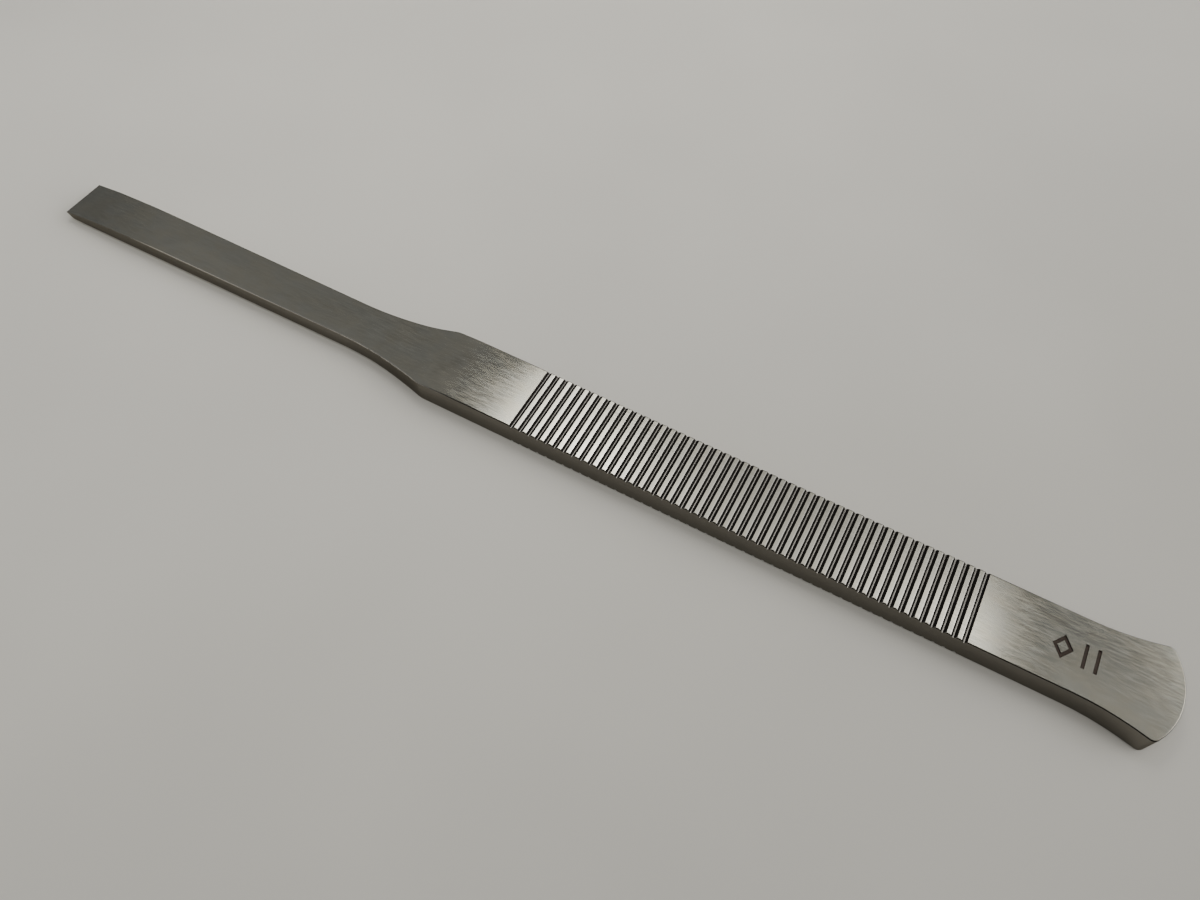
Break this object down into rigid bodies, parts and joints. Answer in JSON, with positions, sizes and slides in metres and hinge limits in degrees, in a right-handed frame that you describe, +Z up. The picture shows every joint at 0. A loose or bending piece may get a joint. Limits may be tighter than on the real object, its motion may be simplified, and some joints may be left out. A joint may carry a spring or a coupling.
{
  "type": "osteotome",
  "caption": "Slender flat bone chisel with a square cutting edge, a curved shoulder, a flat grip with fine cross ribs on both faces, and a flared rounded striking end.",
  "frame": {"origin": "middle of the overall length and width, on the plane of the resting underside", "axes": "+X along the tool towards the flared striking end, +Y across its width, +Z up through its thickness"},
  "size_m": [0.1274, 0.0094, 0.0028],
  "materials": {
    "steel": "satin brushed"
  },
  "bodies": {
    "root": {"osteotome": "steel"}
  },
  "joints": []
}
